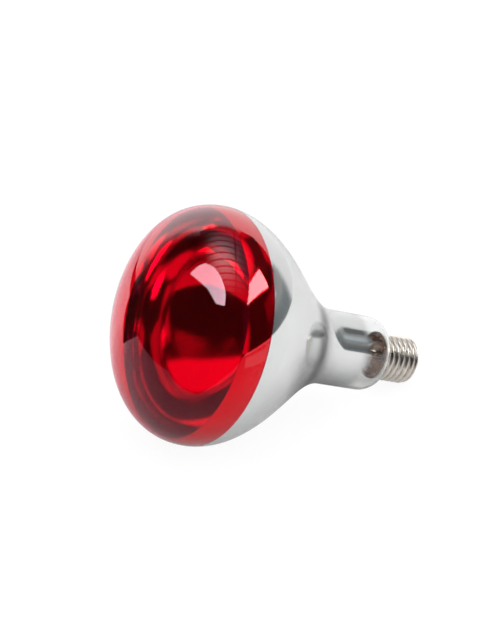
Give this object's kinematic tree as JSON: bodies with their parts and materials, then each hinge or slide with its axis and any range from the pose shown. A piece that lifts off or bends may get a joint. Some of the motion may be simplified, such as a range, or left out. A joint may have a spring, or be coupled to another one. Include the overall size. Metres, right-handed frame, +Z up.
{
  "type": "infrared heat lamp",
  "caption": "Reflector heat lamp: blown bulb with a red coated dome, an inner mirror on its flared back, a glass stem with a coiled filament, and an E27 screw cap.",
  "frame": {"origin": "On the surface that the lamp lies on, under the middle of its bounding box.", "axes": "+Z up, -Y towards the red dome, +Y towards the screw cap, which lies lower. The lamp's own axis is tilted 21.0 degrees, cap down, in the YZ plane."},
  "size_m": [0.125, 0.1778, 0.121],
  "materials": {
    "clear_glass": "clear blown glass, glossy",
    "red_coat": "deep ruby red, glossy, lets light through",
    "mirror_film": "aluminised film, satin seen through the glass",
    "nickel_plate": "nickel-plated brass sheet, satin",
    "black_glass": "black fused glass, glossy",
    "contact_brass": "pressed brass, satin",
    "solder": "tin solder, dull",
    "cement": "brown basing cement, matte",
    "stem_glass": "clear lead glass",
    "mica": "brown mica sheet",
    "copper_wire": "copper-coated wire",
    "nickel_wire": "bright nickel wire",
    "hook_wire": "grey molybdenum wire",
    "tungsten_wire": "dark grey drawn tungsten"
  },
  "bodies": {
    "root": {"glass_bulb": "clear_glass", "red_coating": "red_coat", "mirror_coating": "mirror_film", "cap_shell": "nickel_plate", "cap_insulator": "black_glass", "centre_contact": "contact_brass", "centre_solder": "solder", "side_solder": "solder", "basing_cement": "cement", "glass_stem": "stem_glass", "exhaust_tube": "stem_glass", "support_rod": "stem_glass", "heat_shield": "mica", "seal_wire_left": "copper_wire", "seal_wire_right": "copper_wire", "inner_lead_left": "nickel_wire", "inner_lead_right": "nickel_wire", "outer_lead_centre": "copper_wire", "outer_lead_side": "copper_wire", "filament": "tungsten_wire", "filament_hook_1": "hook_wire", "filament_hook_2": "hook_wire", "filament_hook_3": "hook_wire", "filament_hook_4": "hook_wire", "filament_hook_5": "hook_wire"}
  },
  "joints": []
}
